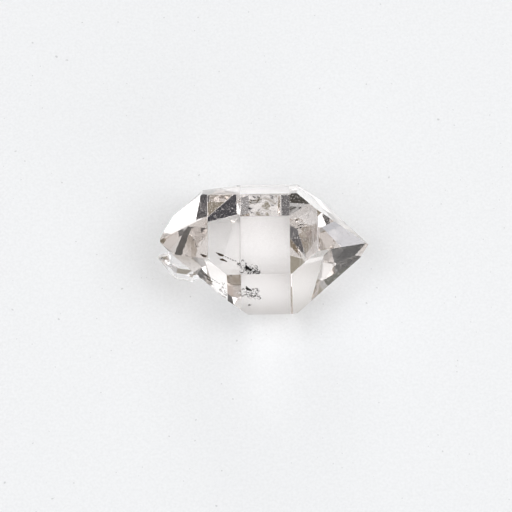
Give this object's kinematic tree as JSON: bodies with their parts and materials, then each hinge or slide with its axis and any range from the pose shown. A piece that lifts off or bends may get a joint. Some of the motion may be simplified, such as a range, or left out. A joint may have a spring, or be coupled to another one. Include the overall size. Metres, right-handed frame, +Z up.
{
  "type": "doubly terminated quartz crystal",
  "caption": "Clear quartz crystal with a point at both ends, lying on a flat prism face, with a small crystal grown into its flank; a mineral specimen or ornament.",
  "frame": {"origin": "centre of the bounding box's lower face, in the plane of the prism face that the crystal lies on", "axes": "+X along the large crystal's c axis towards its sharper point, +Y away from the flank with the small crystal and the chipped edge, +Z up from the resting face"},
  "size_m": [0.028, 0.0188, 0.0138],
  "materials": {
    "quartz": "clear, naturally polished growth faces with faint striations; conchoidal chips on one edge"
  },
  "bodies": {
    "root": {"herkimer_crystal": "quartz"}
  },
  "joints": []
}
